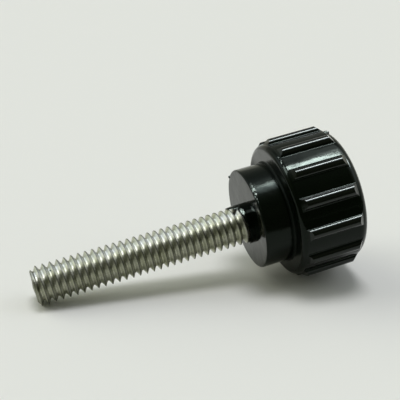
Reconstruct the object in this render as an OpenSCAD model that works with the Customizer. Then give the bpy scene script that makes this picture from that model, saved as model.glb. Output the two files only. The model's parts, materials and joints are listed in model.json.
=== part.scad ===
// Thumb screw: a ribbed plastic knob moulded over the head of a threaded stud.
// The screw lies as it comes to rest, on its tip and on two neighbouring ribs.
// +X runs towards the knob, +Z is up, and the origin is on the surface it lies on.

/* [Stud] */
// Outside diameter of the thread
thread_d = 7.8; // [5:0.1:10]
// Turns of the thread in one inch
turns_per_inch = 18; // [12:1:32]
// Length of the stud from the knob's seat face to its tip
stud_len = 44.2; // [20:0.2:80]
// Bevel at the stud's tip
tip_bevel = 0.8; // [0.3:0.1:1.2]
// Diameter of the plain shank that the plastic grips
shank_d = 7; // [4.4:0.1:8]

/* [Anchor inside the knob] */
// Distance across the flats of the anchor head
anchor_flats = 12.7; // [10:0.1:15]
// Thickness of the anchor head
anchor_h = 5.2; // [3:0.1:7]
// Depth of the anchor head below the seat face
anchor_depth = 6.4; // [3:0.1:10]

/* [Hub] */
// Diameter of the hub
hub_d = 20.4; // [18:0.1:24]
// Length of the hub from its seat face to the head
hub_len = 6.1; // [3:0.1:12]
// Rounding of the hub's front edge
hub_round = 0.35; // [0.1:0.05:0.8]
// Fillet between the hub and the head
hub_fillet = 0.4; // [0.1:0.05:0.8]
// Diameter of the short neck that closes on the stud
neck_d = 8.3; // [7.6:0.1:11]
// Length of the neck
neck_len = 1; // [0.4:0.1:3]
// How far the stud sits below the knob's centre line
stud_drop = 0.85; // [0:0.05:1]

/* [Head] */
// Diameter of the head in the valleys between the ribs
core_d = 27.3; // [26:0.1:34]
// Length of the head
head_len = 14.5; // [8:0.1:24]
// Rounding of the head's front edge
front_round = 1.1; // [0.4:0.1:1.4]
// Rounding of the head's rear edge
rear_round = 2.2; // [0.8:0.1:3]

/* [Ribs] */
// Number of ribs, even so that two of them carry the head
rib_count = 14; // [10:2:18]
// Radius of each rib's rounded section
rib_r = 1.2; // [0.8:0.05:1.6]
// How far the ribs stand out of the valleys
rib_rise = 1; // [0.5:0.05:1.1]
// Fillet along each side of a rib
rib_fillet = 0.35; // [0.15:0.05:0.6]
// Distance from the head's front face to the ribs
rib_front = 1; // [0.6:0.05:3]
// Distance from the ribs to the head's rear face
rib_back = 1.65; // [0.8:0.05:3]

/* [Fit] */
// Gap between the plastic and the metal inside it
mould_gap = 0.02; // [0:0.01:0.1]

/* [Hidden] */
$fn = 96;

inch = 25.4;
thread_r = thread_d / 2;
core_r = core_d / 2;
hub_r = hub_d / 2;
head_end = hub_len + head_len;

// Thread: one ring for each turn, with flanks at 60 degrees and flats of an eighth of the pitch.
pitch = inch / turns_per_inch;
thread_flat = pitch / 8;
flank_run = (pitch - 2 * thread_flat) / 2;
root_r = thread_r - flank_run / tan(30);
tip_at = tip_bevel - stud_len;
ring_count = floor((-neck_len - tip_at) / pitch);
ring_corners = [
    [thread_r, 0],
    [thread_r, thread_flat],
    [root_r, thread_flat + flank_run],
    [root_r, 2 * thread_flat + flank_run]
];

// Ribs: each is a round bar whose centre lies on the ring, half sunk in the core.
rib_step = 360 / rib_count;
rib_ring = core_r + rib_rise - rib_r;
rib_bury = rib_r / 2;
rib_reach = rib_rise + rib_r;

// A fillet's centre is one fillet radius clear of the core and of the rib.
fillet_ring = core_r + rib_fillet;
fillet_reach = rib_r + rib_fillet;
fillet_turn = acos((pow(rib_ring, 2) + pow(fillet_ring, 2) - pow(fillet_reach, 2))
    / (2 * rib_ring * fillet_ring));

// Resting pose: the tip's bevelled edge and the front ends of two ribs share one level.
touch_r = norm([rib_ring + rib_r * cos(rib_step / 2), rib_r * sin(rib_step / 2)]);
touch_at = hub_len + rib_front + touch_r - core_r;
touch_drop = rib_ring * cos(rib_step / 2) + rib_r - stud_drop;
tilt = atan((touch_drop - thread_r) / (touch_at - tip_at));

// The tip and the rear edge bound the screw along X; the origin is midway.
x_low = -stud_len * cos(tilt) - (thread_r - tip_bevel) * sin(tilt);
x_high = (head_end - rear_round) * cos(tilt)
    + (core_r - rear_round - stud_drop) * sin(tilt) + rear_round;
z_low = tip_at * sin(tilt) - thread_r * cos(tilt);

// Lays the screw down from its own axis, which is +Z with the seat face at zero.
module lie_down() {
    translate([-(x_low + x_high) / 2, 0, -z_low])
        rotate([0, 90 - tilt, 0])
            children();
}

// Puts its children on the knob's own centre line.
module on_knob_axis() {
    translate([-stud_drop, 0, 0])
        children();
}

// Half profile of a disc from z0 to z1 whose outer corners are rounded.
module disc_profile(radius, z0, z1, round0, round1) {
    translate([0, z0])
        square([radius - round0, round0]);
    translate([0, z0 + round0])
        square([radius, z1 - z0 - round0 - round1]);
    translate([0, z1 - round1])
        square([radius - round1, round1]);
    translate([radius - round0, z0 + round0])
        circle(round0);
    translate([radius - round1, z1 - round1])
        circle(round1);
}

// Half profile of the hub, with its rounded front edge and its fillet to the head.
module hub_profile() {
    translate([0, 0])
        square([hub_r - hub_round, hub_round]);
    translate([0, hub_round])
        square([hub_r, hub_len - hub_round + front_round]);
    translate([hub_r - hub_round, hub_round])
        circle(hub_round);
    difference() {
        translate([hub_r - hub_fillet, hub_len - hub_fillet])
            square([2 * hub_fillet, 2 * hub_fillet]);
        translate([hub_r + hub_fillet, hub_len - hub_fillet])
            circle(hub_fillet);
    }
}

module knob_body() {
    rotate_extrude()
        hub_profile();
    rotate_extrude()
        disc_profile(core_r, hub_len, head_end, front_round, rear_round);
}

// Section of one rib: the round bar and the fillet on each side of it.
module rib_section() {
    translate([rib_ring, 0])
        circle(rib_r);
    for (side = [-1, 1])
        difference() {
            polygon([
                [rib_ring - rib_bury, 0],
                [rib_ring, 0],
                fillet_ring * [cos(fillet_turn), side * sin(fillet_turn)],
                (rib_ring - rib_bury) * [cos(fillet_turn), side * sin(fillet_turn)]
            ]);
            rotate(side * fillet_turn)
                translate([fillet_ring, 0])
                    circle(rib_fillet);
        }
}

// Bevelled ends: cones that meet the core's surface at the ribs' two limits.
module rib_ends() {
    z0 = hub_len + rib_front;
    z1 = head_end - rib_back;
    rotate_extrude()
        polygon([
            [0, z0 - rib_bury],
            [core_r - rib_bury, z0 - rib_bury],
            [core_r + rib_reach, z0 + rib_reach],
            [core_r + rib_reach, z1 - rib_reach],
            [core_r - rib_bury, z1 + rib_bury],
            [0, z1 + rib_bury]
        ]);
}

module ribs() {
    intersection() {
        for (i = [0:rib_count - 1])
            rotate((i + 0.5) * rib_step)
                translate([0, 0, hub_len])
                    linear_extrude(head_len)
                        rib_section();
        rib_ends();
    }
}

// Half profile of the threaded length: bevelled tip, rings, and the end that meets the neck.
module thread_profile() {
    polygon(concat(
        [[0, -neck_len], [0, -stud_len], [thread_r - tip_bevel, -stud_len]],
        [for (i = [0:ring_count - 1], corner = ring_corners) corner + [0, tip_at + i * pitch]],
        [[thread_r, tip_at + ring_count * pitch], [thread_r, -neck_len]]
    ));
}

// What the plastic holds: the plain shank and the anchor head, grown by a gap.
module shank_and_anchor(gap) {
    translate([0, 0, -neck_len - gap])
        cylinder(d = shank_d + 2 * gap, h = neck_len + anchor_depth + 2 * gap);
    translate([0, 0, anchor_depth - gap])
        cylinder(d = (anchor_flats + 2 * gap) / cos(30), h = anchor_h + 2 * gap, $fn = 6);
}

module knob() {
    color([0.06, 0.065, 0.06])
        lie_down()
            difference() {
                union() {
                    on_knob_axis() {
                        knob_body();
                        ribs();
                    }
                    translate([0, 0, -neck_len])
                        cylinder(d = neck_d, h = neck_len + hub_round);
                }
                shank_and_anchor(mould_gap);
            }
}

module threaded_stud() {
    color([0.78, 0.79, 0.76])
        lie_down() {
            rotate_extrude()
                thread_profile();
            shank_and_anchor(0);
        }
}

knob();
threaded_stud();
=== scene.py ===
import json
import math

import bpy
from mathutils import Matrix, Vector


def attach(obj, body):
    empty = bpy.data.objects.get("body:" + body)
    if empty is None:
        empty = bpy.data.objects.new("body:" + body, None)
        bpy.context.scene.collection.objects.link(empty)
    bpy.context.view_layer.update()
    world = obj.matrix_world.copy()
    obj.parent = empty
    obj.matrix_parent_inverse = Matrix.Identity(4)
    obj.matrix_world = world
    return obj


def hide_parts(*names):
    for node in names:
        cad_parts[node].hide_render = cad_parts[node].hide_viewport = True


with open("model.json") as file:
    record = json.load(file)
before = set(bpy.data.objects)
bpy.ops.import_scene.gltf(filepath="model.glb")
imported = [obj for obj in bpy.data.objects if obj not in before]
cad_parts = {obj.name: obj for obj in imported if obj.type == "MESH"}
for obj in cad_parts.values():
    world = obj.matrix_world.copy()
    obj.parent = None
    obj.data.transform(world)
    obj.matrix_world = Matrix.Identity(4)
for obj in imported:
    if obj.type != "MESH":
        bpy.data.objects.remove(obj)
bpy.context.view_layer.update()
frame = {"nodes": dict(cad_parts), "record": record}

mm = 0.001
mounts = {mount["name"]: mount for mount in frame["record"]["mounts"]}
crestRadius = mounts["thread"]["dims"]["r_mm"] * mm
threadLength = mounts["thread"]["dims"]["length_mm"] * mm  # without the bevelled tip
screwAxis = -Vector(mounts["thread"]["axis"]).normalized()  # from the stud's tip to the knob
threadMiddle = Vector(mounts["thread"]["pos_m"])
seatReach = (Vector(mounts["seat"]["pos_m"]) - threadMiddle).dot(screwAxis)
seatCentre = threadMiddle + screwAxis * seatReach
knobRise = 0.85 * mm  # how far the knob's centre line lies above the stud's

# The screw's own frame: +Z runs along it towards the knob, zero is the seat face, +X points down
ownY = Vector((0, 1, 0))
ownX = ownY.cross(screwAxis)
lieDown = Matrix.Translation(seatCentre) @ Matrix((ownX, ownY, screwAxis)).transposed().to_4x4()


def addNode(tree, kind, label=None, **settings):
    node = tree.nodes.new(kind)
    for name, value in settings.items():
        setattr(node, name, value)
    if label:
        node.label = label
    return node


def feed(tree, socket, value):
    # a socket of another node is linked, anything else is set on the input itself
    if isinstance(value, bpy.types.NodeSocket):
        tree.links.new(value, socket)
    else:
        socket.default_value = value


def calc(tree, operation, *values, label=None):
    node = addNode(tree, "ShaderNodeMath", label, operation=operation)
    for socket, value in zip(node.inputs, values):
        feed(tree, socket, value)
    return node.outputs[0]


def plus(tree, first, second, label=None):
    return calc(tree, "ADD", first, second, label=label)


def minus(tree, first, second, label=None):
    return calc(tree, "SUBTRACT", first, second, label=label)


def times(tree, first, second, label=None):
    return calc(tree, "MULTIPLY", first, second, label=label)


def over(tree, first, second, label=None):
    return calc(tree, "DIVIDE", first, second, label=label)


def rangeOf(tree, value, fromLow, fromHigh, toLow, toHigh, label=None, smooth=False):
    node = addNode(tree, "ShaderNodeMapRange", label)
    node.interpolation_type = "SMOOTHSTEP" if smooth else "LINEAR"
    for name, given in zip(
        ("Value", "From Min", "From Max", "To Min", "To Max"),
        (value, fromLow, fromHigh, toLow, toHigh),
    ):
        feed(tree, node.inputs[name], given)
    return node.outputs["Result"]


def newTree(name, sizes, counts):
    # a tree with one input for each size, each whole number and the material
    tree = bpy.data.node_groups.new(name, "GeometryNodeTree")
    tree.interface.new_socket("Geometry", in_out="OUTPUT", socket_type="NodeSocketGeometry")
    for labels, kind in (
        (sizes, "NodeSocketFloat"),
        (counts, "NodeSocketInt"),
        (("Material",), "NodeSocketMaterial"),
    ):
        for label in labels:
            tree.interface.new_socket(label, in_out="INPUT", socket_type=kind)
    return tree, addNode(tree, "NodeGroupInput").outputs


def pointParts(tree):
    # each point's own x, y and z, before it is moved
    parts = addNode(tree, "ShaderNodeSeparateXYZ")
    tree.links.new(addNode(tree, "GeometryNodeInputPosition").outputs[0], parts.inputs[0])
    return parts.outputs


def moveRound(tree, radius, angle, level):
    # moves each point to a distance from the axis, an angle round it and a height along it
    place = addNode(tree, "ShaderNodeCombineXYZ")
    feed(tree, place.inputs["X"], times(tree, radius, calc(tree, "COSINE", angle)))
    feed(tree, place.inputs["Y"], times(tree, radius, calc(tree, "SINE", angle)))
    feed(tree, place.inputs["Z"], level)
    move = addNode(tree, "GeometryNodeSetPosition")
    tree.links.new(place.outputs[0], move.inputs["Position"])
    return move


def finishTree(tree, material, *stages):
    # joins the stages in a row, then smooths the faces and gives them their material
    paint = addNode(tree, "GeometryNodeSetMaterial")
    tree.links.new(material, paint.inputs["Material"])
    row = [
        *stages,
        addNode(tree, "GeometryNodeSetShadeSmooth"),
        addNode(tree, "GeometryNodeRealizeInstances"),
        paint,
        addNode(tree, "NodeGroupOutput"),
    ]
    for before, after in zip(row, row[1:]):
        tree.links.new(before.outputs[0], after.inputs[0])


def growPiece(name, tree, values, shift):
    # the tree's result becomes the piece's own plain mesh, laid down with the screw
    piece = bpy.data.objects.new(name, bpy.data.meshes.new(name))
    bpy.context.scene.collection.objects.link(piece)
    modifier = piece.modifiers.new("shape", "NODES")
    modifier.node_group = tree
    for item in tree.interface.items_tree:
        if item.in_out == "INPUT":
            modifier[item.identifier] = values[item.name]
    graph = bpy.context.evaluated_depsgraph_get()
    plain = bpy.data.meshes.new_from_object(piece.evaluated_get(graph))
    piece.modifiers.clear()
    piece.data = plain
    plain.name = name
    plain.transform(lieDown @ Matrix.Translation(shift))
    plain.update()
    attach(piece, "root")
    return piece


# The threaded stud is one helical ribbon, a pitch wide, wound from the tip to the anchor's end
stud = {
    "pitch": 1.4111 * mm,  # 18 turns to the inch
    "threadDepth": 0.92 * mm,
    "crestFlat": 0.09 * mm,
    "flankAngle": 30.0,  # degrees, each side
    "tipBevel": 0.8 * mm,
    "bevelRise": 1.2,  # its height over its length; it ends above the crests, which cut it off
    "tipDome": 0.2 * mm,
    "neckLength": 1.0 * mm,  # this stretch is under the plastic
    "shankRadius": 3.5 * mm,
    "anchorDepth": 6.4 * mm,
    "anchorHeight": 5.2 * mm,
    "anchorFlats": 12.7 * mm,
    "startAngle": 0.0,  # degrees, where the thread starts round the tip
    "stepsPerTurn": 84,  # a multiple of 12 meets the anchor's corners
    "stepsPerPitch": 22,
    "weldGap": 0.002 * mm,
}


def threadTree():
    tree, given = newTree("helicalThread", (
        "Pitch", "Crest Radius", "Thread Depth", "Crest Flat", "Flank Angle", "Thread Length",
        "Tip Bevel", "Tip Dome", "Shank Radius", "Shank Length", "Anchor Height", "Anchor Flats",
        "Start Angle",
    ), ("Steps Per Turn", "Steps Per Pitch"))
    pitch, bevel, flank = given["Pitch"], given["Tip Bevel"], given["Flank Angle"]

    # Stations on the stud's outline, measured from the rim of its end face
    flat = times(tree, pitch, 2.0, label="outline kept for each flat face")
    neckAt = given["Thread Length"]
    shankAt = plus(tree, neckAt, flat)
    underHead = plus(tree, shankAt, given["Shank Length"])
    headAt = plus(tree, underHead, flat)
    headEnd = plus(tree, headAt, given["Anchor Height"])
    outline = plus(tree, headEnd, times(tree, flat, 2.0))
    turns = plus(tree, calc(tree, "CEIL", over(tree, outline, pitch)), 2.0)

    # The ribbon is a grid: x becomes the angle round the stud, y the place across one pitch
    grid = addNode(tree, "GeometryNodeMeshGrid")
    feed(tree, grid.inputs["Size X"], times(tree, turns, math.tau))
    grid.inputs["Size Y"].default_value = 1.0
    steps = times(tree, turns, given["Steps Per Turn"])
    feed(tree, grid.inputs["Vertices X"], plus(tree, steps, 1.0))
    feed(tree, grid.inputs["Vertices Y"], plus(tree, given["Steps Per Pitch"], 1.0))
    point = pointParts(tree)
    angle = plus(tree, point["X"], times(tree, turns, math.pi))
    across = plus(tree, point["Y"], 0.5)
    advance = times(tree, pitch, plus(tree, across, over(tree, angle, math.tau)))
    along = minus(tree, advance, plus(tree, flat, pitch), label="place on the outline")

    def stretch(start, end, low, high):
        return rangeOf(tree, along, start, end, low, high)

    # Thread form: a narrow flat crest, straight flanks, and a root as round as the depth allows
    share = calc(tree, "ABSOLUTE", minus(tree, times(tree, across, 2.0), 1.0))
    halfPitch = times(tree, pitch, 0.5)
    fromRoot = times(tree, minus(tree, 1.0, share), halfPitch, label="distance from the root")
    steep = calc(tree, "TANGENT", minus(tree, math.pi / 2, flank))
    flankWidth = minus(tree, halfPitch, times(tree, given["Crest Flat"], 0.5))
    spare = minus(tree, times(tree, flankWidth, steep), given["Thread Depth"])
    sine = calc(tree, "SINE", flank)
    rootRound = over(tree, times(tree, spare, sine), minus(tree, 1.0, sine), label="root radius")
    roundReach = times(tree, rootRound, calc(tree, "COSINE", flank))
    inRound = calc(tree, "MINIMUM", fromRoot, roundReach)
    squares = minus(tree, times(tree, rootRound, rootRound), times(tree, inRound, inRound))
    sag = minus(tree, rootRound, calc(tree, "SQRT", squares))
    climbed = plus(tree, sag, times(tree, minus(tree, fromRoot, inRound), steep))
    cut = calc(tree, "MAXIMUM", minus(tree, given["Thread Depth"], climbed), 0.0)
    threadForm = minus(tree, given["Crest Radius"], cut)

    # The end face and the bevel, until the thread form is the lower of the two
    endStart = times(tree, flat, -1.0)
    endFace = stretch(endStart, 0.0, 0.0, minus(tree, given["Crest Radius"], bevel))
    slope = stretch(0.0, bevel, 0.0, times(tree, bevel, stud["bevelRise"]))
    threaded = calc(tree, "MINIMUM", threadForm, plus(tree, endFace, slope))

    # Plain shank and hexagonal anchor head, which the knob hides
    turnShare = calc(tree, "WRAP", angle, math.pi / 6, -math.pi / 6)
    halfFlats = times(tree, given["Anchor Flats"], 0.5)
    hexRadius = over(tree, halfFlats, calc(tree, "COSINE", turnShare))
    toShank = stretch(neckAt, shankAt, 0.0, 1.0)
    toHead = stretch(underHead, headAt, 0.0, 1.0)
    toEnd = stretch(headEnd, plus(tree, headEnd, flat), 1.0, 0.0)

    def blendOf(share, low, high):
        return plus(tree, times(tree, low, minus(tree, 1.0, share)), times(tree, high, share))

    radius = blendOf(toHead, blendOf(toShank, threaded, given["Shank Radius"]), hexRadius)
    radius = times(tree, radius, toEnd)

    # Height: it stands still while the outline crosses a flat face
    height = plus(tree, stretch(0.0, neckAt, 0.0, given["Thread Length"]),
                  plus(tree, stretch(shankAt, underHead, 0.0, given["Shank Length"]),
                       stretch(headAt, headEnd, 0.0, given["Anchor Height"])))
    inward = calc(tree, "POWER", stretch(endStart, 0.0, 1.0, 0.0), 2.0)
    dome = times(tree, given["Tip Dome"], inward)
    level = minus(tree, height, plus(tree, dome, given["Thread Length"]))

    wind = moveRound(tree, radius, plus(tree, angle, given["Start Angle"]), level)
    weld = addNode(tree, "GeometryNodeMergeByDistance")
    weld.inputs["Distance"].default_value = stud["weldGap"]
    finishTree(tree, given["Material"], grid, wind, weld)
    return tree


def buildStud(material):
    piece = growPiece("rolledThreadStud", threadTree(), {
        "Pitch": stud["pitch"],
        "Crest Radius": crestRadius,
        "Thread Depth": stud["threadDepth"],
        "Crest Flat": stud["crestFlat"],
        "Flank Angle": math.radians(stud["flankAngle"]),
        "Thread Length": threadLength + stud["tipBevel"],
        "Tip Bevel": stud["tipBevel"],
        "Tip Dome": stud["tipDome"],
        "Shank Radius": stud["shankRadius"],
        "Shank Length": stud["neckLength"] + stud["anchorDepth"],
        "Anchor Height": stud["anchorHeight"],
        "Anchor Flats": stud["anchorFlats"],
        "Start Angle": math.radians(stud["startAngle"]),
        "Steps Per Turn": stud["stepsPerTurn"],
        "Steps Per Pitch": stud["stepsPerPitch"],
        "Material": material,
    }, (0, 0, -stud["neckLength"]))
    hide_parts("threaded_stud")
    print("stud:", len(piece.data.polygons), "faces")
    return piece


# Slivers of plastic that the mould let through: the piece whose centre line each goes round, its
# distance from that line, its thickness, its middle angle and half its width in degrees (180 is
# the screw's top), its place along the screw and half its length, how far it advances in a full
# turn, how ragged it is, and how coarse that raggedness is
slivers = {
    "neckTongue": {  # runs back over the thread's crests
        "about": "stud", "radius": 3.95 * mm, "thickness": 0.24 * mm,
        "angle": 160, "halfAngle": 27, "along": -0.5 * mm, "halfLength": 3.35 * mm,
        "twist": 0.0, "ragged": 0.10 * mm, "grain": 0.7 * mm, "seed": 3,
    },
    "neckSkirt": {  # fills the last turn of the thread
        "about": "stud", "radius": 3.8 * mm, "thickness": 0.36 * mm,
        "angle": 196, "halfAngle": 62, "along": -0.95 * mm, "halfLength": 0.75 * mm,
        "twist": stud["pitch"], "ragged": 0.35 * mm, "grain": 0.8 * mm, "seed": 8,
    },
    "edgeBurr": {  # stands on the hub's front edge
        "about": "knob", "radius": 10.12 * mm, "thickness": 0.3 * mm,
        "angle": 213, "halfAngle": 11, "along": 0.45 * mm, "halfLength": 0.45 * mm,
        "twist": 0.0, "ragged": 0.42 * mm, "grain": 0.6 * mm, "seed": 5,
    },
    "edgeTear": {  # a thinner continuation of the same burr
        "about": "knob", "radius": 10.16 * mm, "thickness": 0.12 * mm,
        "angle": 230, "halfAngle": 12, "along": 0.25 * mm, "halfLength": 0.25 * mm,
        "twist": 0.0, "ragged": 0.2 * mm, "grain": 0.5 * mm, "seed": 11,
    },
    "edgeNub": {
        "about": "knob", "radius": 10.1 * mm, "thickness": 0.28 * mm,
        "angle": 130, "halfAngle": 1.4, "along": 0.1 * mm, "halfLength": 0.3 * mm,
        "twist": 0.0, "ragged": 0.1 * mm, "grain": 0.4 * mm, "seed": 2,
    },
    "fleck": {  # a crumb of plastic caught near the tip
        "about": "stud", "radius": 3.72 * mm, "thickness": 0.1 * mm,
        "angle": 207, "halfAngle": 3.2, "along": -40.45 * mm, "halfLength": 0.17 * mm,
        "twist": 0.0, "ragged": 0.08 * mm, "grain": 0.3 * mm, "seed": 6,
    },
    "rimBump": {  # where the plastic entered the mould
        "about": "knob", "radius": 13.25 * mm, "thickness": 0.55 * mm,
        "angle": 178, "halfAngle": 2.4, "along": 19.3 * mm, "halfLength": 0.65 * mm,
        "twist": 0.0, "ragged": 0.25 * mm, "grain": 0.5 * mm, "seed": 7,
    },
    "partingBurr": {  # along the head's front edge
        "about": "knob", "radius": 13.42 * mm, "thickness": 0.17 * mm,
        "angle": 197, "halfAngle": 32, "along": 7.0 * mm, "halfLength": 0.3 * mm,
        "twist": 0.0, "ragged": 0.44 * mm, "grain": 0.7 * mm, "seed": 4,
    },
}
kneadRounds = 5  # subdivisions of each sliver


def sliverTree():
    tree, given = newTree("mouldSliver", (
        "Radius", "Thickness", "Angle", "Half Angle", "Along", "Half Length", "Twist",
        "Ragged", "Grain",
    ), ("Seed",))

    # A ball whose x becomes the thickness, y the angle round the centre line, z the length
    ball = addNode(tree, "GeometryNodeMeshIcoSphere")
    ball.inputs["Radius"].default_value = 1.0
    ball.inputs["Subdivisions"].default_value = kneadRounds
    point = pointParts(tree)
    swing = times(tree, point["Y"], given["Half Angle"])
    angle = plus(tree, given["Angle"], swing)
    follow = times(tree, swing, over(tree, given["Twist"], math.tau), label="follows the thread")
    level = plus(tree, plus(tree, given["Along"], follow),
                 times(tree, point["Z"], given["Half Length"]))
    radius = plus(tree, given["Radius"], times(tree, point["X"], given["Thickness"]))

    # Noise, read on the sliver unrolled to a flat strip, pushes it outwards and along the screw
    here = addNode(tree, "ShaderNodeCombineXYZ")
    feed(tree, here.inputs["X"], times(tree, angle, given["Radius"]))
    feed(tree, here.inputs["Y"], level)
    feed(tree, here.inputs["Z"], radius)

    def push(noiseOffset):
        noise = addNode(tree, "ShaderNodeTexNoise", noise_dimensions="4D")
        tree.links.new(here.outputs[0], noise.inputs["Vector"])
        feed(tree, noise.inputs["W"], plus(tree, given["Seed"], noiseOffset))
        feed(tree, noise.inputs["Scale"], over(tree, 1.0, given["Grain"]))
        noise.inputs["Detail"].default_value = 2.0
        return times(tree, given["Ragged"], minus(tree, noise.outputs[0], 0.5))

    radius = plus(tree, radius, push(0.37))
    level = plus(tree, level, push(40.37))  # far enough away to be another pattern
    finishTree(tree, given["Material"], ball, moveRound(tree, radius, angle, level))
    return tree


def buildSlivers(material):
    tree = sliverTree()
    pieces = []
    for name, sliver in slivers.items():
        rise = knobRise if sliver["about"] == "knob" else 0.0
        piece = growPiece(name, tree, {
            "Radius": sliver["radius"],
            "Thickness": sliver["thickness"],
            "Angle": math.radians(sliver["angle"]),
            "Half Angle": math.radians(sliver["halfAngle"]),
            "Along": sliver["along"],
            "Half Length": sliver["halfLength"],
            "Twist": sliver["twist"],
            "Ragged": sliver["ragged"],
            "Grain": sliver["grain"],
            "Seed": sliver["seed"],
            "Material": material,
        }, (-rise, 0, 0))
        pieces.append(piece)
    print("slivers:", len(pieces))
    return pieces


def newMaterial(name):
    material = bpy.data.materials.new(name)
    material.use_nodes = True
    tree = material.node_tree
    return material, tree, tree.nodes["Principled BSDF"]


def ownPlace(tree):
    # Object coordinates turned into the screw's own frame: Z along it, zero at the seat face
    where = addNode(tree, "ShaderNodeTexCoord")
    turn = addNode(tree, "ShaderNodeMapping", "screw's own frame", vector_type="TEXTURE")
    turn.inputs["Location"].default_value = seatCentre
    turn.inputs["Rotation"].default_value = lieDown.to_3x3().to_euler("XYZ")
    tree.links.new(where.outputs["Object"], turn.inputs[0])
    parts = addNode(tree, "ShaderNodeSeparateXYZ")
    tree.links.new(turn.outputs[0], parts.inputs[0])
    return turn.outputs[0], parts.outputs


def reachFrom(tree, parts, rise, label):
    # distance from a line along the screw that lies this far above the stud's centre line
    aside = plus(tree, parts["X"], rise)
    squares = plus(tree, times(tree, aside, aside), times(tree, parts["Y"], parts["Y"]))
    return calc(tree, "SQRT", squares, label=label)


def facing(tree, direction, label):
    # how squarely the surface faces a direction, from -1 to 1
    shape = addNode(tree, "ShaderNodeNewGeometry")
    dot = addNode(tree, "ShaderNodeVectorMath", label, operation="DOT_PRODUCT")
    tree.links.new(shape.outputs["Normal"], dot.inputs[0])
    dot.inputs[1].default_value = direction
    return dot.outputs["Value"]


def grain(tree, place, size, detail, label, stretch=(1, 1, 1), harshness=0.5):
    # a noise whose blobs are about one size across, longer where stretch is over 1
    squeeze = addNode(tree, "ShaderNodeMapping")
    squeeze.inputs["Scale"].default_value = [1 / share for share in stretch]
    tree.links.new(place, squeeze.inputs[0])
    noise = addNode(tree, "ShaderNodeTexNoise", label)
    noise.inputs["Scale"].default_value = 1 / size
    noise.inputs["Detail"].default_value = detail
    noise.inputs["Roughness"].default_value = harshness
    tree.links.new(squeeze.outputs[0], noise.inputs["Vector"])
    return noise.outputs[0]


def vary(tree, noise, low, high):
    # a noise stays mostly between 0.3 and 0.7
    return rangeOf(tree, noise, 0.3, 0.7, low, high)


def blendColours(tree, share, first, second, label):
    mix = addNode(tree, "ShaderNodeMix", label, data_type="RGBA")
    feed(tree, mix.inputs["Factor"], share)
    feed(tree, mix.inputs["A"], first)
    feed(tree, mix.inputs["B"], second)
    return mix.outputs["Result"]


def scaleVector(tree, vector, share, label):
    scaled = addNode(tree, "ShaderNodeVectorMath", label, operation="SCALE")
    tree.links.new(vector, scaled.inputs[0])
    feed(tree, scaled.inputs["Scale"], share)
    return scaled.outputs[0]


def roughen(tree, height, depth, label, under=None):
    bump = addNode(tree, "ShaderNodeBump", label)
    bump.inputs["Strength"].default_value = 1.0
    bump.inputs["Distance"].default_value = depth
    tree.links.new(height, bump.inputs["Height"])
    if under:
        tree.links.new(under, bump.inputs["Normal"])
    return bump.outputs[0]


plating = {
    "colour": (0.61, 0.62, 0.495, 1),
    "chromate": (0.55, 0.565, 0.405, 1),  # the yellowish film where the plating is thick
    "filmRange": (0.38, 0.66),  # patch noise from no film to full film
    "patchSize": 2.2 * mm,
    "patchDetail": 3,
    "roughness": (0.34, 0.48),
    "drawSize": 0.36 * mm,
    "drawDetail": 4,
    "drawStretch": (0.3, 0.3, 1.1),
    "drawDepth": 0.010 * mm,
    "speckle": 0.42,
    # what is left of the brightness where shade is painted into the colour: in the roots, on
    # flanks to the knob and to the tip, and as dark lines on the crests' sharp edges; the cut end
    # is darker too
    "rootTone": 0.85,
    "rootDepths": (0.8 * mm, 0.35 * mm),  # below the crests, from full effect to none
    "backTone": 0.5,
    "backRange": (0.2, 0.6),  # how squarely such a flank faces the knob
    "frontTone": 0.92,
    "frontRange": (0.4, 0.8),
    "endTone": 0.5,
    "endRange": (0.55 * mm, 0.95 * mm),  # distance from the tip
    "crestTone": 0.25,
    "crestDepths": (0.19 * mm, 0.05 * mm),
    "brushed": 0.85,  # how far the highlights stretch along the screw
    "evenShine": 0.38,  # how far the flanks shine as a round bar would
}


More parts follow.
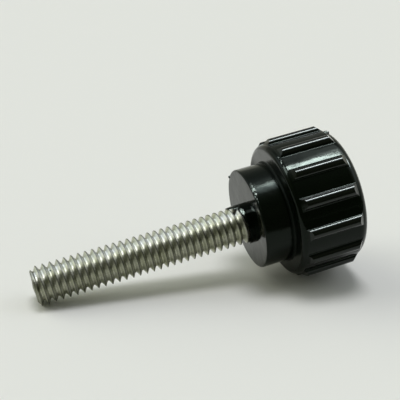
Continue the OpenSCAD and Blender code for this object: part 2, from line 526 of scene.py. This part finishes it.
def zincPlating():
    material, tree, shader = newMaterial("brightZincPlating")
    place, parts = ownPlace(tree)
    patches = grain(tree, place, plating["patchSize"], plating["patchDetail"], "patches of film")
    film = rangeOf(tree, patches, *plating["filmRange"], 0.0, 1.0, smooth=True)
    colour = blendColours(tree, film, plating["colour"], plating["chromate"], "film")
    fine = grain(tree, place, plating["drawSize"], plating["drawDetail"], "rolled texture",
                 stretch=plating["drawStretch"])

    reach = reachFrom(tree, parts, 0.0, "distance from the stud's axis")
    below = [crestRadius - depth for depth in plating["rootDepths"]]
    # painted shade: darker in the roots, on flanks facing the knob, on flanks facing the tip, and
    # along the crests' edges
    root = rangeOf(tree, reach, *below, plating["rootTone"], 1.0, smooth=True)
    back = rangeOf(tree, facing(tree, screwAxis, "faces the knob"), *plating["backRange"],
                   1.0, plating["backTone"], smooth=True)
    below = [crestRadius - depth for depth in plating["crestDepths"]]
    edge = rangeOf(tree, reach, *below, 1.0, plating["crestTone"], smooth=True)
    front = rangeOf(tree, facing(tree, -screwAxis, "faces the tip"), *plating["frontRange"],
                    1.0, plating["frontTone"], smooth=True)
    tip = -threadLength - stud["tipBevel"] - stud["neckLength"]
    end = rangeOf(tree, parts["Z"], *[tip + depth for depth in plating["endRange"]],
                  plating["endTone"], 1.0, "the cut end", smooth=True)
    # the rolled texture's speckle, times the painted shade and the darker cut end
    speckleAndPaintedShade = vary(tree, fine, 1.0 - plating["speckle"], 1.0 + plating["speckle"])
    for share in (root, back, edge, front, end):
        speckleAndPaintedShade = times(tree, speckleAndPaintedShade, share)
    tree.links.new(scaleVector(tree, colour, speckleAndPaintedShade, "paintedShadeAndSpeckle"), shader.inputs["Base Color"])

    shader.inputs["Metallic"].default_value = 1.0
    feed(tree, shader.inputs["Roughness"], vary(tree, fine, *plating["roughness"]))
    along = addNode(tree, "ShaderNodeCombineXYZ", "along the screw")
    for axis, share in zip("XYZ", screwAxis):
        along.inputs[axis].default_value = share
    shader.inputs["Anisotropic"].default_value = plating["brushed"]
    tree.links.new(along.outputs[0], shader.inputs["Tangent"])

    # The rolling marks run round the stud, so its flanks shine much as a round bar does
    tilt = times(tree, facing(tree, screwAxis, "lean along the screw"), -plating["evenShine"])
    lean = scaleVector(tree, along.outputs[0], tilt, "lean back to the round bar")
    leant = addNode(tree, "ShaderNodeVectorMath", operation="ADD")
    tree.links.new(addNode(tree, "ShaderNodeNewGeometry").outputs["Normal"], leant.inputs[0])
    tree.links.new(lean, leant.inputs[1])
    bar = addNode(tree, "ShaderNodeVectorMath", operation="NORMALIZE")
    tree.links.new(leant.outputs[0], bar.inputs[0])
    surface = roughen(tree, fine, plating["drawDepth"], "rolled texture", bar.outputs[0])
    tree.links.new(surface, shader.inputs["Normal"])
    print("zinc:", len(tree.nodes), "nodes")
    return material


moulding = {
    "colour": (0.0005, 0.0014, 0.0003, 1),
    "mottled": (0.0012, 0.0030, 0.0008, 1),
    "mottleRange": (0.35, 0.7),  # grain noise from the first colour to the second
    "mirrorTint": (0.84, 1.0, 0.88, 1),
    "specular": 0.155,
    "hubLength": 6.1 * mm,
    "hubRoughness": 0.17,
    "polish": 0.1,  # roughness of the head and its ribs
    "polishBlend": 0.6 * mm,  # ahead of the head's front face
    "faceRoughness": 0.05,
    "faceRange": (0.9, 0.985),  # how squarely a flat face looks to the tip
    "cornerRoughness": 0.6,
    "cornerAhead": 0.25 * mm,  # the corner's middle, ahead of the head's front face
    "cornerRange": (0.2 * mm, 0.3 * mm),
    "waveSize": 4.0 * mm,
    "waveDetail": 2,
    "waveStretch": (1, 1, 2),
    "waveDepth": 0.10 * mm,
    "grainSize": 0.3 * mm,
    "grainDetail": 5,
    "grainHarshness": 0.65,
    "grainDepth": 0.006 * mm,
    "grainGloss": 0.03,  # how far the grain moves the roughness up or down
    # a thin film that shines more: on the ribs' handled crowns, on the seat face, and on the upper
    # side of the shoulder round the hub
    "filmRoughness": 0.05,
    "crownFilm": 0.42,
    "crownRange": (13.9 * mm, 14.15 * mm),  # distance from the knob's centre line
    "seatFilm": 0.13,
    "shoulderFilm": 0.55,
    "shoulderRange": (10.0 * mm, 10.4 * mm),
    "shoulderFade": (-10.5 * mm, -7.0 * mm),  # height in the screw's own frame, up is negative
}


def blackPlastic():
    material, tree, shader = newMaterial("polishedBlackPlastic")
    place, parts = ownPlace(tree)
    flatFace = rangeOf(tree, facing(tree, -screwAxis, "faces the tip"), *moulding["faceRange"],
                       0.0, 1.0, smooth=True)
    fine = grain(tree, place, moulding["grainSize"], moulding["grainDetail"], "moulded grain",
                 harshness=moulding["grainHarshness"])
    speckle = rangeOf(tree, fine, *moulding["mottleRange"], 0.0, 1.0)
    colour = blendColours(tree, speckle, moulding["colour"], moulding["mottled"], "mottle")
    tree.links.new(colour, shader.inputs["Base Color"])
    shader.inputs["Specular IOR Level"].default_value = moulding["specular"]
    shader.inputs["Specular Tint"].default_value = moulding["mirrorTint"]

    headAt = moulding["hubLength"]
    rough = rangeOf(tree, parts["Z"], headAt - moulding["polishBlend"], headAt,
                    moulding["hubRoughness"], moulding["polish"])
    spread = moulding["grainGloss"]
    rough = plus(tree, rough, vary(tree, fine, -spread, spread))
    rough = rangeOf(tree, flatFace, 0.0, 1.0, rough, moulding["faceRoughness"])
    corner = calc(tree, "ABSOLUTE", minus(tree, parts["Z"], headAt - moulding["cornerAhead"]))
    rough = rangeOf(tree, corner, *moulding["cornerRange"], moulding["cornerRoughness"], rough,
                    "unpolished corner at the head")
    feed(tree, shader.inputs["Roughness"], rough)

    reach = reachFrom(tree, parts, knobRise, "distance from the knob's centre line")
    crowns = rangeOf(tree, reach, *moulding["crownRange"], 0.0, moulding["crownFilm"],
                     smooth=True)
    shoulder = rangeOf(tree, parts["X"], *moulding["shoulderFade"], moulding["shoulderFilm"], 0.0,
                       smooth=True)
    faces = rangeOf(tree, reach, *moulding["shoulderRange"], moulding["seatFilm"], shoulder,
                    "shoulder round the hub")
    film = calc(tree, "MAXIMUM", crowns, times(tree, flatFace, faces))
    feed(tree, shader.inputs["Coat Weight"], film)
    shader.inputs["Coat Roughness"].default_value = moulding["filmRoughness"]

    waves = grain(tree, place, moulding["waveSize"], moulding["waveDetail"], "shrinkage waves",
                  stretch=moulding["waveStretch"])
    surface = roughen(tree, waves, moulding["waveDepth"], "shrinkage waves")
    surface = roughen(tree, fine, moulding["grainDepth"], "moulded grain", under=surface)
    tree.links.new(surface, shader.inputs["Normal"])
    print("plastic:", len(tree.nodes), "nodes")
    return material


studio = {
    "floorColour": (0.805, 0.808, 0.80, 1),
    "floorSize": 12.0,
    "lens": 78.03,
    "cameraPlace": (-0.05009, -0.14916, 0.08178),
    "azimuth": -18.79,  # degrees, the camera looks along +Y and a little towards +X
    "elevation": 22.07,
    "roll": 1.0,
    # a large light overhead falls on everything, and a low, wide one from behind on the floor
    # alone: brightness in watts per square metre, width in degrees, direction and colour
    "topLight": (1.08, 22, (0.0, 0.03, 1.0), (1, 1, 1)),
    "lowLight": (1.1, 60, (-0.9, 0.75, 0.55), (1.0, 1.0, 0.74)),
    # the room round it: degrees up from the horizon in front, over the top and down to the horizon
    # behind, with the colour there
    "roomBands": (
        (0, (0.085, 0.09, 0.065)),
        (50, (0.10, 0.105, 0.08)),
        (66, (0.17, 0.175, 0.15)),
        (80, (0.38, 0.395, 0.38)),
        (92, (0.48, 0.495, 0.52)),
        (110, (0.48, 0.505, 0.545)),
        (128, (0.31, 0.335, 0.32)),
        (150, (0.33, 0.35, 0.31)),
        (180, (0.72, 0.73, 0.62)),
    ),
    "sideLight": 3.6,  # how much brighter the room is to the left and right
    "sideRange": (0.15, 0.85),  # square of the sideways share of a direction
    "sideLow": 0.12,  # the share of that near the horizon
    "sideLowRange": (0.1, 0.5),  # upward share of a direction
    # a dark card over the table in front, hidden from the camera, which only polished faces
    # mirror: a painted dark reflection of the room in front
    "darkFrom": 0.065,
    "darkReach": 2.0,
    "darkLevel": 0.0005,  # just above the table
    "darkColour": (0.10, 0.10, 0.075, 1),
    # strips overhead that one piece alone mirrors: lean back and width in degrees, brightness,
    # the two ends, colour
    "stripHeight": 0.6,
    "stripShift": 0.1,  # further back, as a share of the height
    "knobStrips": (
        (-2.7, 3.4, 70.0, 0.085, 0.75, (0.93, 0.97, 1.0)),
        (-2.7, 3.4, 115.0, 0.118, 0.75, (0.95, 0.97, 0.97)),
        (-8.0, 6.5, 12.0, 0.075, 0.75, (0.90, 0.97, 1.05)),
        (-14.5, 6.5, 3.5, 0.07, 0.75, (0.90, 0.97, 1.05)),
        (2.6, 7.0, 5.0, 0.115, 0.75, (0.95, 0.97, 1.0)),
        (11.0, 10.0, 1.7, 0.115, 0.75, (0.95, 0.99, 1.0)),
        (-4.0, 14.0, 9.0, -0.60, -0.12, (0.95, 0.98, 1.0)),
    ),
    "sliverStrips": (
        (-2.7, 10.0, 75.0, -0.60, 0.75, (0.95, 0.98, 1.0)),
        (-14.0, 8.0, 40.0, -0.60, 0.75, (0.95, 0.98, 1.0)),
        (14.0, 8.0, 25.0, -0.60, 0.75, (0.95, 0.98, 1.0)),
    ),
    "studStrips": (
        (-11.6, 23.6, 4.9, -0.75, 0.75, (0.95, 0.96, 1.10)),
        (30.0, 56.0, 1.7, -0.75, 0.75, (0.90, 0.96, 1.32)),
    ),
}


def placeCamera():
    azimuth, elevation = math.radians(studio["azimuth"]), math.radians(studio["elevation"])
    back = Vector((
        math.sin(azimuth) * math.cos(elevation),
        -math.cos(azimuth) * math.cos(elevation),
        math.sin(elevation),
    ))
    look = (-back).to_track_quat("-Z", "Y").to_matrix()
    turn = look @ Matrix.Rotation(math.radians(studio["roll"]), 3, "Z")
    data = bpy.data.cameras.new("camera")
    data.lens = studio["lens"]
    data.clip_start, data.clip_end = 0.01, 20
    camera = bpy.data.objects.new("camera", data)
    camera.matrix_world = Matrix.Translation(studio["cameraPlace"]) @ turn.to_4x4()
    bpy.context.scene.collection.objects.link(camera)
    bpy.context.scene.camera = camera
    print("camera:", studio["lens"], "mm")


def addCard(name, materialName, colour, left, right, near, far, level):
    # a matt rectangle that lies flat
    mesh = bpy.data.meshes.new(name)
    corners = [(left, near, level), (right, near, level), (right, far, level), (left, far, level)]
    mesh.from_pydata(corners, [], [(0, 1, 2, 3)])
    card = bpy.data.objects.new(name, mesh)
    bpy.context.scene.collection.objects.link(card)
    material, tree, shader = newMaterial(materialName)
    shader.inputs["Base Color"].default_value = colour
    shader.inputs["Roughness"].default_value = 1.0
    shader.inputs["Specular IOR Level"].default_value = 0.0
    mesh.materials.append(material)
    return card


def layFloor():
    half = studio["floorSize"] / 2
    return addCard("floor", "paleTable", studio["floorColour"], -half, half, -half, half, 0)


def darkenFront():
    # painted dark reflection: a card that only polished faces see, lying over the pale table
    reach = studio["darkReach"]
    front = addCard("darkFront", "paintedDarkReflection", studio["darkColour"], -reach, reach,
                    -reach, -studio["darkFrom"], studio["darkLevel"])
    front.visible_camera = front.visible_diffuse = front.visible_shadow = False


def addLight(name, kind, place):
    # it shines straight down until it is turned
    data = bpy.data.lights.new(name, kind)
    light = bpy.data.objects.new(name, data)
    light.location = place
    bpy.context.scene.collection.objects.link(light)
    return light, data


def onlyOn(light, pieces, name):
    # the light falls on the given pieces alone
    chosen = bpy.data.collections.new(name)
    for piece in pieces:
        chosen.objects.link(piece)
    light.light_linking.receiver_collection = chosen


def addSun(name):
    brightness, width, direction, colour = studio[name]
    sun, data = addLight(name, "SUN", direction)
    sun.rotation_euler = (-Vector(direction)).to_track_quat("-Z", "X").to_euler()
    data.energy = brightness
    data.angle = math.radians(width)
    data.color = colour
    sun.visible_glossy = False
    return sun


def addStrips(strips, mirroredIn):
    owner = mirroredIn[0].name
    height = studio["stripHeight"]
    for number, (lean, width, brightness, start, end, colour) in enumerate(strips):
        nearEdge, farEdge = (
            height * math.tan(math.radians(lean + side * width / 2)) for side in (-1, 1)
        )
        across = (nearEdge + farEdge) / 2 + studio["stripShift"] * height
        middle = Vector(((start + end) / 2, across, height))
        strip, data = addLight("strip%d_%s" % (number, owner), "AREA", middle)
        data.shape = "RECTANGLE"
        data.size, data.size_y = end - start, farEdge - nearEdge
        data.energy = brightness * math.pi * data.size * data.size_y
        data.color = colour
        strip.visible_diffuse = False
        onlyOn(strip, mirroredIn, "mirroredIn_" + strip.name)


def buildRoom():
    world = bpy.data.worlds.new("studio")
    world.use_nodes = True
    bpy.context.scene.world = world
    tree = world.node_tree
    room = tree.nodes["Background"]
    where = addNode(tree, "ShaderNodeTexCoord")
    turn = addNode(tree, "ShaderNodeMapping")
    turn.inputs["Rotation"].default_value = (0, 0, math.radians(-studio["azimuth"]))
    tree.links.new(where.outputs["Generated"], turn.inputs[0])
    parts = addNode(tree, "ShaderNodeSeparateXYZ")
    tree.links.new(turn.outputs[0], parts.inputs[0])
    sideways, upward = parts.outputs["X"], parts.outputs["Z"]
    climb = calc(tree, "ARCTAN2", calc(tree, "MAXIMUM", upward, 0.0),
                 times(tree, parts.outputs["Y"], -1.0), label="up from the horizon in front")
    bands = addNode(tree, "ShaderNodeValToRGB", "room from front to back")
    bands.color_ramp.interpolation = "EASE"
    stops = bands.color_ramp.elements
    while len(stops) < len(studio["roomBands"]):
        stops.new(0.5)
    for stop, (degrees, colour) in zip(stops, studio["roomBands"]):
        stop.position = degrees / 180
        stop.color = (*colour, 1)
    feed(tree, bands.inputs[0], over(tree, climb, math.pi))
    tree.links.new(bands.outputs[0], room.inputs["Color"])
    aside = times(tree, sideways, sideways)
    low = rangeOf(tree, upward, *studio["sideLowRange"], studio["sideLow"], 1.0)
    bright = rangeOf(tree, times(tree, aside, low), *studio["sideRange"], 1.0,
                     studio["sideLight"], "brighter to the sides")
    feed(tree, room.inputs["Strength"], bright)


def lightStudio(knob, leaks, threaded, floor):
    bpy.context.scene.view_settings.view_transform = "Standard"
    bpy.context.scene.cycles.use_denoising = True
    addSun("topLight")
    onlyOn(addSun("lowLight"), [floor], "litByLowLight")
    addStrips(studio["knobStrips"], [knob])
    addStrips(studio["sliverStrips"], leaks)
    addStrips(studio["studStrips"], [threaded])
    darkenFront()
    buildRoom()
    print("lights:", len(bpy.data.lights))


zinc = zincPlating()
plastic = blackPlastic()
threaded = buildStud(zinc)
leaks = buildSlivers(plastic)
knob = frame["nodes"]["knob"]
knob.material_slots[0].material = plastic
placeCamera()
lightStudio(knob, leaks, threaded, layFloor())
